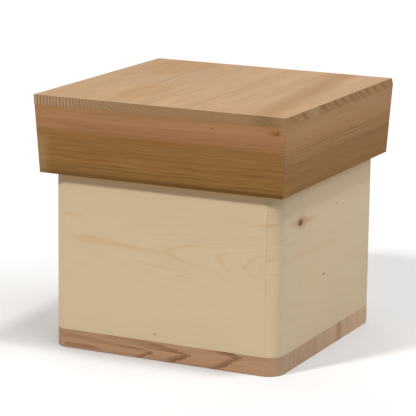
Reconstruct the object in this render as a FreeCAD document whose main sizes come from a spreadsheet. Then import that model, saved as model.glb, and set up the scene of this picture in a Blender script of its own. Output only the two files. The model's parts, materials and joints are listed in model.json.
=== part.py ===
"""A small six-frame wooden beehive: cedar floor, pine walls, removable frames, crown board and cedar lid.

Row frame, millimetres: +Z is up and Z 0 is the underside of the floor board, the origin is the middle
of the body's plan, the side walls face +X and -X, and the bees' entrance is in the wall that faces +Y.
"""
import FreeCAD, Part
import os
import re
import Sketcher
from FreeCAD import Placement, Rotation, Vector

DRIVING_SIZES = {
    # body
    "body_width": 270,
    "body_depth": 265,
    "corner_radius": 18,
    "floor_thickness": 20.6,
    "wall_thickness": 20,
    "joint_depth": 5,
    "rim_height": 195.3,
    "ledge_depth": 20,
    "ledge_width": 10,
    # lid
    "lid_width": 285.6,
    "lid_depth": 291,
    "lid_top_height": 280.5,
    "lid_flare": 4.6,
    "lid_inside_gap": 0.3,
    "lid_board": 18,
    "roof_thickness": 10.2,
    "roof_bevel_back": 5.9,
    "roof_bevel_down": 8.5,
    "insulation_thickness": 30,
    "batten_width": 20,
    "batten_thickness": 14,
    "batten_inset": 90,
    "batten_screw_inset": 80,
    "batten_screw_reach": 8,
    "block_leg": 20,
    "block_height": 34,
    "block_gap": 0.4,
    # crown board and its plug
    "crown_thickness": 6,
    "crown_clearance": 1,
    "crown_lift": 0.2,
    "feed_hole_radius": 20,
    "plug_flange_radius": 27,
    "plug_flange_thickness": 6,
    "plug_bevel": 1.5,
    "plug_clearance": 0.5,
    # frames
    "frame_count": 6,
    "frame_pitch": 35,
    "first_frame": 94.5,
    "frame_length": 214,
    "top_bar_length": 243,
    "top_bar_width": 25,
    "top_bar_thickness": 9.8,
    "bar_thickness": 8,
    "shoulder_width": 34.6,
    "shoulder_height": 60,
    "shoulder_slope": 6,
    "bottom_bar_width": 20,
    "wax_thickness": 1,
    "wax_groove": 3,
    "wax_clearance": 0.5,
    "bee_space": 8.2,
    "runner_sheet": 0.8,
    "runner_height": 3,
    "runner_wall_gap": 0.2,
    "runner_lip_gap": 0.4,
    "runner_end_gap": 0.5,
    "lug_gap": 0.2,
    "dummy_thickness": 10,
    "dummy_place": 106,
    # entrance
    "entrance_radius": 11,
    "entrance_height": 50.6,
    "disc_radius": 38,
    "disc_thickness": 1.2,
    "disc_reach": 22,
    "disc_port_radius": 10,
    "disc_pivot_radius": 2.1,
    "grip_radius": 3,
    "grip_height": 4,
    "grip_reach": 27,
    "disc_screw_length": 17,
    "disc_head_radius": 4.5,
    "disc_head_height": 2.4,
    # fasteners and working clearances
    "dowel_radius": 4,
    "dowel_length": 40,
    "dowel_in_side": 9,
    "shank_radius": 2,
    "head_radius": 4,
    "head_height": 3,
    "head_slot_width": 1,
    "head_slot_depth": 1.2,
    "floor_screw_length": 45,
    "floor_screw_recess": 0.6,
    "floor_screw_inset": 70,
    "drill_play": 0.05,
    "drill_depth_play": 0.5,
    "running_gap": 0.3,
}

ALONG_X = Rotation(Vector(0, 1, 0), 90)
ALONG_Y = Rotation(Vector(1, 0, 0), -90)
INTO_WALL = Rotation(Vector(1, 0, 0), 90)
SIDES = (-1, 1)
PAST = 1

doc = FreeCAD.newDocument("Beehive")
sheet = doc.addObject("Spreadsheet::Sheet", "Sizes")
sub_parts = []


def fill_sheet():
    """Writes every driving size into the sheet under its own name."""
    for row, (name, value) in enumerate(DRIVING_SIZES.items(), start=1):
        sheet.set(f"A{row}", name)
        sheet.set(f"B{row}", str(value))
        sheet.setAlias(f"B{row}", name)
    doc.recompute()


def formula(words):
    """An expression in which each plain word is a cell of the sheet."""
    return re.sub(r"[a-z][a-z_]+", r"Sizes.\g<0>", str(words))


def bind(thing, **sizes):
    """Binds properties of an object to formulas."""
    for name, words in sizes.items():
        thing.setExpression(name, formula(words))
    return thing


def place(thing, corner=(0, 0, 0), turn=None):
    """Places an object by formulas, turned about its own origin first."""
    thing.Placement = Placement(Vector(), turn or Rotation())
    for letter, words in zip("xyz", corner):
        thing.setExpression("Placement.Base." + letter, formula(words))
    return thing


def keep(thing, label):
    """Marks an object as a finished sub-part, under its node's name."""
    thing.Label = label
    sub_parts.append(thing)
    return thing


def box(length, width, height, corner):
    """A block with its lowest corner at the given place."""
    block = bind(doc.addObject("Part::Box", "Block"), Length=length, Width=width, Height=height)
    return place(block, corner)


def rod(radius, height, foot, turn=None):
    """A cylinder that rises from its foot, along Z unless turned."""
    cylinder = bind(doc.addObject("Part::Cylinder", "Rod"), Radius=radius, Height=height)
    return place(cylinder, foot, turn)


def cone(low_radius, high_radius, height, foot):
    """An upright tapered rod, used for countersunk heads."""
    made = doc.addObject("Part::Cone", "Taper")
    bind(made, Radius1=low_radius, Radius2=high_radius, Height=height)
    return place(made, foot)


def together(things):
    """Several objects as one compound."""
    group = doc.addObject("Part::Compound", "Group")
    group.Links = list(things)
    return group


def cut(base, tools):
    """The base with every tool taken away."""
    made = doc.addObject("Part::Cut", "Cut")
    made.Base = base
    made.Tool = together(tools)
    return made


def fuse(things):
    """Touching or crossing pieces joined into one solid."""
    made = doc.addObject("Part::MultiFuse", "Fuse")
    made.Shapes = list(things)
    return made


def outline(body, corners, plane="XY_Plane"):
    """A closed sketch of straight lines whose corners are all set by formulas."""
    sketch = body.newObject("Sketcher::SketchObject", "Outline")
    support = next(part for part in body.Origin.OriginFeatures if part.Role == plane)
    sketch.AttachmentSupport = [(support, "")]
    sketch.MapMode = "FlatFace"
    count = len(corners)
    rough = [Rotation(Vector(0, 0, 1), 360 * i / count).multVec(Vector(50, 0, 0)) for i in range(count)]
    for i in range(count):
        sketch.addGeometry(Part.LineSegment(rough[i], rough[(i + 1) % count]), False)
    for i in range(count):
        sketch.addConstraint(Sketcher.Constraint("Coincident", i, 2, (i + 1) % count, 1))
    for i, corner in enumerate(corners):
        for kind, words in zip(("DistanceX", "DistanceY"), corner):
            number = sketch.addConstraint(Sketcher.Constraint(kind, i, 1, 1.0))
            sketch.setExpression(f"Constraints[{number}]", formula(words))
    return sketch


def padded_body(corners, length, plane="XY_Plane"):
    """A body padded from one outline."""
    body = doc.addObject("PartDesign::Body", "Body")
    pad = body.newObject("PartDesign::Pad", "Pad")
    pad.Profile = outline(body, corners, plane)
    bind(pad, Length=length)
    body.Tip = pad
    return body


def round_upright_edges(body, wanted):
    """Rounds the upright edges of a body whose middle point passes the test."""
    doc.recompute()
    pad = body.Tip
    names = [
        f"Edge{number}"
        for number, edge in enumerate(pad.Shape.Edges, start=1)
        if abs(edge.BoundBox.ZLength - edge.Length) < 1e-6 and wanted(edge.CenterOfMass)
    ]
    fillet = body.newObject("PartDesign::Fillet", "RoundedCorners")
    fillet.Base = (pad, names)
    bind(fillet, Radius="corner_radius")
    body.Tip = fillet
    return body


def rectangle(half_x, half_y):
    """The four corners of a rectangle about the origin."""
    return [
        (f"-({half_x})", f"-({half_y})"),
        (f"{half_x}", f"-({half_y})"),
        (f"{half_x}", f"{half_y}"),
        (f"-({half_x})", f"{half_y}"),
    ]


def head_slot(radius, foot):
    """The straight slot across a screw head of the given radius."""
    corner = (f"-({radius}) - {PAST}", "-head_slot_width / 2", foot)
    return box(f"2 * ({radius} + {PAST})", "head_slot_width", "head_slot_depth", corner)


def countersunk_screw(length, foot):
    """An upright wood screw with its slotted head at its foot."""
    head = cone("head_radius", "shank_radius", "head_height", (0, 0, 0))
    shank = rod("shank_radius", length, (0, 0, 0))
    return place(cut(fuse([head, shank]), [head_slot("head_radius", 0)]), foot)


def countersunk_hole(length, foot):
    """The hole that a countersunk screw fills, a little wider and deeper than the screw."""
    x, y, level = foot
    mouth = cone("head_radius + drill_play", "shank_radius + drill_play", "head_height", foot)
    below = rod("head_radius + drill_play", 2 * PAST, (x, y, f"{level} - {2 * PAST}"))
    return [mouth, below, rod("shank_radius + drill_play", f"{length} + drill_depth_play", foot)]


def floor_screw_feet():
    """Where the eight floor screws start: two under each wall."""
    feet = []
    for sx in SIDES:
        for sy in SIDES:
            across, along = "(body_width - wall_thickness) / 2", "(body_depth - wall_thickness) / 2"
            feet.append((f"{sx} * {across}", f"{sy} * floor_screw_inset", "floor_screw_recess"))
            feet.append((f"{sx} * floor_screw_inset", f"{sy} * {along}", "floor_screw_recess"))
    return feet


def floor_screw_holes():
    """The eight screw holes that pass the floor and enter the walls."""
    holes = []
    for foot in floor_screw_feet():
        holes += countersunk_hole("floor_screw_length", foot)
    return holes


def make_floor():
    """The cedar floor board, with the body's rounded plan, and the screws that hold it."""
    body = padded_body(rectangle("body_width / 2", "body_depth / 2"), "floor_thickness")
    round_upright_edges(body, lambda point: True)
    keep(cut(body, floor_screw_holes()), "floor_board")
    screws = [countersunk_screw("floor_screw_length", foot) for foot in floor_screw_feet()]
    keep(together(screws), "floor_screws")


DOWEL_HEIGHTS = (48, 98, 148)
DOWEL_END_PLAYS = 5


def dowel(play, sx, sy, height):
    """One corner dowel along X, or its slightly wider and longer hole when there is play."""
    outer_end = "body_width / 2 - wall_thickness + joint_depth + dowel_in_side"
    inner_end = f"{outer_end} - dowel_length"
    start = inner_end if sx > 0 else f"-({outer_end})"
    end_play = f"{DOWEL_END_PLAYS} * ({play})"
    foot = (f"{start} - {end_play}", f"{sy} * (body_depth - wall_thickness) / 2", height)
    return rod(f"dowel_radius + {play}", f"dowel_length + 2 * {end_play}", foot, ALONG_X)


def corner_dowels(play, sx_wanted=SIDES, sy_wanted=SIDES):
    """The dowels, or their holes, at the chosen corners."""
    return [dowel(play, sx, sy, z) for sx in sx_wanted for sy in sy_wanted for z in DOWEL_HEIGHTS]


def rebates(side):
    """The rebates in a side wall's ends that the end walls fit into."""
    right_wall_face = "body_width / 2 - wall_thickness"
    left = right_wall_face if side > 0 else f"-({right_wall_face}) - joint_depth"
    starts = (f"-body_depth / 2 - {PAST}", "body_depth / 2 - wall_thickness")
    width = f"wall_thickness + {PAST}"
    return [box("joint_depth", width, "rim_height", (left, start, 0)) for start in starts]


def make_side_wall(side, label):
    """A side wall over the body's whole depth, its outer upright edges rounded and its ends rebated."""
    corners = [
        ("body_width / 2 - wall_thickness", "-body_depth / 2"),
        ("body_width / 2", "-body_depth / 2"),
        ("body_width / 2", "body_depth / 2"),
        ("body_width / 2 - wall_thickness", "body_depth / 2"),
    ]
    body = padded_body(corners, "rim_height - floor_thickness")
    round_upright_edges(body, lambda point: point.x > DRIVING_SIZES["body_width"] / 2 - PAST)
    place(body, (0, 0, "floor_thickness"), Rotation(Vector(0, 0, 1), 0 if side > 0 else 180))
    holes = corner_dowels("drill_play", sx_wanted=(side,)) + floor_screw_holes()
    keep(cut(body, rebates(side) + holes), label)


def end_wall_profile(side):
    """The section of an end wall in the YZ plane, with the ledge that carries the frames."""
    outer, inner = f"{side} * body_depth / 2", f"{side} * (body_depth / 2 - wall_thickness)"
    lip = f"{side} * (body_depth / 2 - wall_thickness + ledge_width)"
    ledge = "rim_height - ledge_depth"
    return [
        (outer, "floor_thickness"),
        (outer, "rim_height"),
        (lip, "rim_height"),
        (lip, ledge),
        (inner, ledge),
        (inner, "floor_thickness"),
    ]


def end_wall_body(side):
    """An end wall between the side walls' rebates, before its holes."""
    visible = "wall_thickness - joint_depth"
    body = padded_body(end_wall_profile(side), f"body_width - 2 * ({visible})", "YZ_Plane")
    return place(body, (f"{visible} - body_width / 2", 0, 0))


DISC_LEVEL = "entrance_height + disc_reach"


def make_end_walls():
    """The plain back wall and the front wall with the bees' round entrance."""
    back_holes = corner_dowels("drill_play", sy_wanted=(-1,)) + floor_screw_holes()
    keep(cut(end_wall_body(-1), back_holes), "back_wall")
    entrance = rod(
        "entrance_radius",
        f"wall_thickness + {2 * PAST}",
        (0, f"body_depth / 2 - wall_thickness - {PAST}", "entrance_height"),
        ALONG_Y,
    )
    depth = "disc_screw_length + drill_depth_play"
    pilot = rod("shank_radius + drill_play", depth, (0, "body_depth / 2", DISC_LEVEL), INTO_WALL)
    front_holes = corner_dowels("drill_play", sy_wanted=(1,)) + floor_screw_holes()
    keep(cut(end_wall_body(1), front_holes + [entrance, pilot]), "entrance_wall")


def make_runner(side, label):
    """A folded steel strip on the ledge: the frames' lugs rest on its raised edge."""
    ledge = "rim_height - ledge_depth"
    inner = "body_depth / 2 - wall_thickness + runner_wall_gap"
    outer = "body_depth / 2 - wall_thickness + ledge_width - runner_lip_gap"
    corners = [
        (f"{side} * ({inner})", ledge),
        (f"{side} * ({outer})", ledge),
        (f"{side} * ({outer})", f"{ledge} + runner_sheet"),
        (f"{side} * ({inner} + runner_sheet)", f"{ledge} + runner_sheet"),
        (f"{side} * ({inner} + runner_sheet)", f"{ledge} + runner_height"),
        (f"{side} * ({inner})", f"{ledge} + runner_height"),
    ]
    length = "body_width - 2 * (wall_thickness + runner_end_gap)"
    body = padded_body(corners, length, "YZ_Plane")
    keep(place(body, (f"-({length}) / 2", 0, 0)), label)


VENT_HOLE_RADIUS = 1.5
VENT_RING_RADIUS = 5.5
VENT_RING_COUNT = 6
SLOT_WIDTH = 4.2
SLOT_LENGTH = 15
SLOT_PITCH = 6.4


def disc_openings():
    """The disc's pivot hole, its open port, its ring of vent holes and its excluder slots."""
    face = f"body_depth / 2 + running_gap - {PAST}"
    depth = f"disc_thickness + {2 * PAST}"
    tools = [
        rod("disc_pivot_radius", depth, (0, face, DISC_LEVEL), ALONG_Y),
        rod("disc_port_radius", depth, (0, face, "entrance_height"), ALONG_Y),
        rod(VENT_HOLE_RADIUS, depth, ("disc_reach", face, DISC_LEVEL), ALONG_Y),
    ]
    for step in range(VENT_RING_COUNT):
        turn = Rotation(Vector(0, 1, 0), 360 * step / VENT_RING_COUNT)
        around = turn.multVec(Vector(VENT_RING_RADIUS, 0, 0))
        spot = (f"disc_reach + {around.x:.4f}", face, f"{DISC_LEVEL} + {around.z:.4f}")
        tools.append(rod(VENT_HOLE_RADIUS, depth, spot, ALONG_Y))
    for step in (-1, 0, 1):
        drop = step * SLOT_PITCH - SLOT_WIDTH / 2
        corner = (f"-disc_reach - {SLOT_LENGTH / 2}", face, f"{DISC_LEVEL} + {drop}")
        tools.append(box(SLOT_LENGTH, depth, SLOT_WIDTH, corner))
    return tools


def make_entrance_disc():
    """The turning entrance disc, its grip and the screw it turns on."""
    face = "body_depth / 2 + running_gap"
    plate = rod("disc_radius", "disc_thickness", (0, face, DISC_LEVEL), ALONG_Y)
    grip_foot = (0, face, f"{DISC_LEVEL} + grip_reach")
    grip = rod("grip_radius", "disc_thickness + grip_height", grip_foot, ALONG_Y)
    keep(cut(fuse([plate, grip]), disc_openings()), "entrance_disc")
    standoff = "disc_thickness + 2 * running_gap"
    shank = rod("shank_radius", f"disc_screw_length + {standoff}", (0, 0, 0))
    head = rod("disc_head_radius", "disc_head_height", (0, 0, "-disc_head_height"))
    screw = cut(fuse([shank, head]), [head_slot("disc_head_radius", "-disc_head_height")])
    place(screw, (0, f"body_depth / 2 + {standoff}", DISC_LEVEL), INTO_WALL)
    keep(screw, "entrance_disc_screw")


def lid_flare_at(height):
    """How far the lid's outer face stands out at a height, beyond its width at the rim."""
    return f"lid_flare * ({height} - rim_height) / (lid_top_height - rim_height)"


def flared_block(foot, top):
    """The lid's outer form between two heights: a solid block that widens evenly upwards."""
    wedge = doc.addObject("Part::Wedge", "FlaredBlock")
    low, high = lid_flare_at(foot), lid_flare_at(top)
    bind(wedge, Ymin=foot, Ymax=top)
    for axis, size in (("X", "lid_width"), ("Z", "lid_depth")):
        for end, sign in (("min", "-"), ("max", "")):
            wedge.setExpression(axis + end, formula(f"{sign}({size} / 2 + {low})"))
            wedge.setExpression(f"{axis}2{end}", formula(f"{sign}({size} / 2 + {high})"))
    return place(wedge, (0, 0, 0), Rotation(Vector(1, 0, 0), 90))


def mitre_sector(along, across, angle):
    """The space between two mitre planes that meet the lid's inner corners at 45 degrees."""
    reach = "2 * lid_board"
    inner, near = f"{along} / 2 - lid_board", f"{across} / 2 - lid_board"
    corners = [
        (f"-({inner})", f"-({near})"),
        (f"-({inner} + {reach})", f"-({near} + {reach})"),
        (f"{inner} + {reach}", f"-({near} + {reach})"),
        (inner, f"-({near})"),
    ]
    body = padded_body(corners, "lid_top_height")
    return place(body, (0, 0, 0), Rotation(Vector(0, 0, 1), angle))


def make_skirt(along, across, angle, label):
    """One side board of the lid: upright inside, flaring outwards with height, mitred at both ends."""
    board = doc.addObject("Part::Common", "Mitred")
    board.Base = flared_block("rim_height", "lid_top_height - roof_thickness")
    board.Tool = mitre_sector(along, across, angle)
    keep(board, label)


def make_roof():
    """The lid's thin top board, its edges in line with the side boards and its back edge bevelled."""
    board = flared_block("lid_top_height - roof_thickness", "lid_top_height")
    back = "-lid_depth / 2 - lid_flare"
    corners = [
        (f"{back} + roof_bevel_back", "lid_top_height"),
        (f"{back} + roof_bevel_back", f"lid_top_height + {PAST}"),
        (f"{back} - {PAST}", f"lid_top_height + {PAST}"),
        (f"{back} - {PAST}", "lid_top_height - roof_bevel_down"),
        (back, "lid_top_height - roof_bevel_down"),
    ]
    corners = [(f"-({y})", z) for y, z in corners]
    bevel = padded_body(corners, "2 * lid_width", "YZ_Plane")
    place(bevel, ("-lid_width", 0, 0))
    keep(cut(board, batten_screw_holes() + [bevel]), "lid_top_board")


BATTEN_FOOT = "lid_top_height - roof_thickness - insulation_thickness - batten_thickness"
BATTEN_SCREW_LENGTH = "batten_thickness + insulation_thickness + batten_screw_reach"


def batten_screw_feet():
    """Where the four batten screws start: near both ends of each batten."""
    return [
        (f"{sx} * batten_screw_inset", f"{sy} * batten_inset", BATTEN_FOOT) for sx in SIDES for sy in SIDES
    ]


def batten_screw_holes():
    """The four screw holes up through battens and insulation into the top board."""
    holes = []
    for foot in batten_screw_feet():
        holes += countersunk_hole(BATTEN_SCREW_LENGTH, foot)
    return holes


def make_lid_inside():
    """What the lid holds: insulation, two battens with their screws, and glue blocks in the corners."""
    half_x, half_y = "lid_width / 2 - lid_board", "lid_depth / 2 - lid_board"
    slab_x, slab_y = f"{half_x} - lid_inside_gap", f"{half_y} - lid_inside_gap"
    level = "lid_top_height - roof_thickness - insulation_thickness"
    corner = (f"-({slab_x})", f"-({slab_y})", level)
    slab = box(f"2 * ({slab_x})", f"2 * ({slab_y})", "insulation_thickness", corner)
    keep(cut(slab, batten_screw_holes()), "insulation_board")
    for side, label in ((-1, "lid_batten_back"), (1, "lid_batten_front")):
        corner = (f"-({slab_x})", f"{side} * batten_inset - batten_width / 2", BATTEN_FOOT)
        batten = box(f"2 * ({slab_x})", "batten_width", "batten_thickness", corner)
        keep(cut(batten, batten_screw_holes()), label)
    screws = [countersunk_screw(BATTEN_SCREW_LENGTH, foot) for foot in batten_screw_feet()]
    keep(together(screws), "lid_batten_screws")
    blocks = []
    for sx in SIDES:
        for sy in SIDES:
            x, y = f"{sx} * ({half_x})", f"{sy} * ({half_y})"
            triangle = [(x, y), (f"{x} - {sx} * block_leg", y), (x, f"{y} - {sy} * block_leg")]
            block = padded_body(triangle, "block_height")
            blocks.append(place(block, (0, 0, f"{level} - block_height - block_gap")))
    keep(together(blocks), "lid_corner_blocks")


def make_crown_board():
    """The crown board that closes the frames in, with a feed hole and the plug that shuts it."""
    half_x = "lid_width / 2 - lid_board - crown_clearance"
    half_y = "lid_depth / 2 - lid_board - crown_clearance"
    foot = "rim_height + crown_lift"
    corner = (f"-({half_x})", f"-({half_y})", foot)
    board = box(f"2 * ({half_x})", f"2 * ({half_y})", "crown_thickness", corner)
    hole = rod("feed_hole_radius", f"crown_thickness + {2 * PAST}", (0, 0, f"rim_height - {PAST}"))
    keep(cut(board, [hole]), "crown_board")
    body = doc.addObject("PartDesign::Body", "Body")
    spigot = "feed_hole_radius - plug_clearance"
    flange = "crown_thickness + running_gap"
    top = f"{flange} + plug_flange_thickness"
    corners = [
        (0, "plug_clearance"),
        (spigot, "plug_clearance"),
        (spigot, flange),
        ("plug_flange_radius", flange),
        ("plug_flange_radius", f"{top} - plug_bevel"),
        ("plug_flange_radius - plug_bevel", top),
        (0, top),
    ]
    turned = body.newObject("PartDesign::Revolution", "Turned")
    profile = outline(body, corners, "XZ_Plane")
    turned.Profile = profile
    turned.ReferenceAxis = (profile, ["V_Axis"])
    turned.Angle = 360
    body.Tip = turned
    keep(place(body, (0, 0, foot)), "feed_hole_plug")


FRAME_TOP = "rim_height - ledge_depth + runner_height + lug_gap + top_bar_thickness"
FRAME_FOOT = "floor_thickness + bee_space"


def side_bar_outline():
    """A side bar seen along the frame: wide shoulders that space the frames, notched for both bars."""
    high = f"({FRAME_TOP}) - ({FRAME_FOOT})"
    notch = f"{high} - top_bar_thickness"
    waist = f"{high} - shoulder_height"
    right = [
        ("bottom_bar_width / 2", "bar_thickness"),
        ("bottom_bar_width / 2", "0"),
        ("top_bar_width / 2", "0"),
        ("top_bar_width / 2", waist),
        ("shoulder_width / 2", f"{waist} + shoulder_slope"),
        ("shoulder_width / 2", high),
        ("top_bar_width / 2", high),
        ("top_bar_width / 2", notch),
    ]
    left = [(f"-({x})", z) for x, z in reversed(right)]
    return right + left


def make_side_bar(middle, side, label):
    """One upright of a frame."""
    body = padded_body(side_bar_outline(), "bar_thickness", "XZ_Plane")
    far_face = "frame_length / 2" if side > 0 else "bar_thickness - frame_length / 2"
    keep(place(body, (middle, far_face, FRAME_FOOT)), label)


def make_frame(number):
    """One removable frame: top bar with lugs, two side bars, bottom bar and a sheet of wax foundation."""
    middle = f"frame_pitch * {number - 1} - first_frame"
    label = f"frame_{number}_"
    under_top_bar = f"{FRAME_TOP} - top_bar_thickness"
    corner = (f"{middle} - top_bar_width / 2", "-top_bar_length / 2", under_top_bar)
    bar = box("top_bar_width", "top_bar_length", "top_bar_thickness", corner)
    groove_width = "(wax_thickness + 2 * wax_clearance)"
    corner = (f"{middle} - {groove_width} / 2", "bar_thickness - frame_length / 2", under_top_bar)
    groove = box(groove_width, "frame_length - 2 * bar_thickness", "wax_groove", corner)
    keep(cut(bar, [groove]), label + "top_bar")
    make_side_bar(middle, -1, label + "back_bar")
    make_side_bar(middle, 1, label + "front_bar")
    corner = (f"{middle} - bottom_bar_width / 2", "-frame_length / 2", FRAME_FOOT)
    bottom = box("bottom_bar_width", "frame_length", "bar_thickness", corner)
    keep(bottom, label + "bottom_bar")
    wax_length = "frame_length - 2 * (bar_thickness + wax_clearance)"
    wax_foot = f"{FRAME_FOOT} + bar_thickness"
    wax_top = f"{under_top_bar} + wax_groove - wax_clearance"
    corner = (f"{middle} - wax_thickness / 2", f"-({wax_length}) / 2", wax_foot)
    wax = box("wax_thickness", wax_length, f"{wax_top} - ({wax_foot})", corner)
    keep(wax, label + "wax_sheet")


def make_dummy_board():
    """The plain board that fills the space beside the last frame, cut with lugs like a frame's."""
    left = "dummy_place - dummy_thickness / 2"
    corner = (left, "-frame_length / 2", FRAME_FOOT)
    panel = box("dummy_thickness", "frame_length", f"{FRAME_TOP} - ({FRAME_FOOT})", corner)
    corner = (left, "-top_bar_length / 2", f"{FRAME_TOP} - top_bar_thickness")
    lugs = box("dummy_thickness", "top_bar_length", "top_bar_thickness", corner)
    keep(fuse([panel, lugs]), "dummy_board")


def make_hive():
    """Builds every sub-part of the hive."""
    make_floor()
    make_side_wall(-1, "left_wall")
    make_side_wall(1, "right_wall")
    make_end_walls()
    keep(together(corner_dowels("0")), "corner_dowels")
    make_runner(-1, "frame_runner_back")
    make_runner(1, "frame_runner_front")
    make_entrance_disc()
    for number in range(1, DRIVING_SIZES["frame_count"] + 1):
        make_frame(number)
    make_dummy_board()
    make_crown_board()
    make_skirt("lid_width", "lid_depth", 0, "lid_back_board")
    make_skirt("lid_depth", "lid_width", 90, "lid_right_board")
    make_skirt("lid_width", "lid_depth", 180, "lid_front_board")
    make_skirt("lid_depth", "lid_width", 270, "lid_left_board")
    make_roof()
    make_lid_inside()
    doc.recompute()


def check_hive():
    """Stops with a message if any object failed to build."""
    for thing in doc.Objects:
        if {"Invalid", "Error"} & set(thing.State):
            raise RuntimeError(f"{thing.Label} did not build: {thing.State}")
    for part in sub_parts:
        if part.Shape.isNull() or not part.Shape.isValid() or not part.Shape.Solids:
            raise RuntimeError(f"{part.Label} has no valid shape")


def write_parts():
    """Writes each sub-part to its own STEP file."""
    os.makedirs("parts", exist_ok=True)
    for part in sub_parts:
        part.Shape.exportStep(f"parts/{part.Label}.step")
        print(f"{part.Label:24} {len(part.Shape.Solids):2} solids {part.Shape.Volume / 1000:9.2f} cm3")


fill_sheet()
make_hive()
check_hive()
write_parts()
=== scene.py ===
"""Looks of the small cedar and pine beehive: procedural timber, wax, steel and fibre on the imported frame."""
import json
import math
from types import SimpleNamespace as Facts

import bpy
from mathutils import Matrix, Vector


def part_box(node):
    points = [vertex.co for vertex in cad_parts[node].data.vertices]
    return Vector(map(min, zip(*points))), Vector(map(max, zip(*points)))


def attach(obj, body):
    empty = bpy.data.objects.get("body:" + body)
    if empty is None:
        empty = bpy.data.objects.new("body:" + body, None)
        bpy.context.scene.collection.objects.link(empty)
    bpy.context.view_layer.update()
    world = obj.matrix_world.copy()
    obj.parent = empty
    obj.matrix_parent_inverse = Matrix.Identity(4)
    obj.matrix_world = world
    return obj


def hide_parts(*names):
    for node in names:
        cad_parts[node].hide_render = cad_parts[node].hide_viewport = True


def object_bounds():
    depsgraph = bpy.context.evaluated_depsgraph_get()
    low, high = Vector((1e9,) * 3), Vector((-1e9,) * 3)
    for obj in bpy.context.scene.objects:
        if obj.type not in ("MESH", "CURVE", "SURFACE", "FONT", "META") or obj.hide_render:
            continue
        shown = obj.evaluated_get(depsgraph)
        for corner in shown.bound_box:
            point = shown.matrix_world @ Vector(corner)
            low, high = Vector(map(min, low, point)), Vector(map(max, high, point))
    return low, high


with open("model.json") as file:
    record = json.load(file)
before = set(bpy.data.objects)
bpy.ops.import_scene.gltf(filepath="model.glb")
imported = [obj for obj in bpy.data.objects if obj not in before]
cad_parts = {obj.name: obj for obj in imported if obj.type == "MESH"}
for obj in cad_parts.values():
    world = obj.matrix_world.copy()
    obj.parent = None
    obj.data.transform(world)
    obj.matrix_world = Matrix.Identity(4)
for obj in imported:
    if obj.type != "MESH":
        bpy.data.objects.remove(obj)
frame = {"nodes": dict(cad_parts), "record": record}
cad_low, cad_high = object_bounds()

MM = 0.001


def tone(red, green, blue):
    """A linear colour from the usual 0 to 255 screen values, by the sRGB curve."""
    linear = []
    for value in (red, green, blue):
        share = value / 255
        linear.append(share / 12.92 if share <= 0.04045 else ((share + 0.055) / 1.055) ** 2.4)
    return (*linear, 1.0)


# ---- node building


class Signal:
    """A number that varies over a surface, with ordinary arithmetic."""

    def __init__(self, graph, socket):
        self.graph = graph
        self.socket = socket

    def size(self):
        return self.graph.math("ABSOLUTE", self)

    def part(self):
        return self.graph.math("FRACT", self)

    def rise(self, low, high):
        """0 before low and 1 after high, with a smooth rise between; it falls where low is the larger."""
        node = self.graph.node("ShaderNodeMapRange", interpolation_type="SMOOTHSTEP")
        self.graph.feed(node.inputs["Value"], self)
        self.graph.feed(node.inputs["From Min"], low)
        self.graph.feed(node.inputs["From Max"], high)
        return Signal(self.graph, node.outputs["Result"])

    def near(self, centre, reach):
        """1 at centre, falling smoothly to 0 at reach either side."""
        return (self - centre).size().rise(reach, 0.0)

    def close(self, outer, inner):
        """1 where the signal is within inner of 0, falling smoothly to 0 at outer."""
        return self.size().rise(outer, inner)


def arithmetic(operation, flipped=False):
    """A method of Signal that makes the maths node of one operation."""

    def method(signal, other):
        return signal.graph.math(operation, *((other, signal) if flipped else (signal, other)))

    return method


for method_name, operation in (("__add__", "ADD"), ("__radd__", "ADD"), ("__mul__", "MULTIPLY"),
                               ("__rmul__", "MULTIPLY"), ("__sub__", "SUBTRACT"), ("__truediv__", "DIVIDE"),
                               ("__pow__", "POWER"), ("most", "MAXIMUM"), ("least", "MINIMUM")):
    setattr(Signal, method_name, arithmetic(operation))
Signal.__rsub__ = arithmetic("SUBTRACT", flipped=True)


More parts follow.
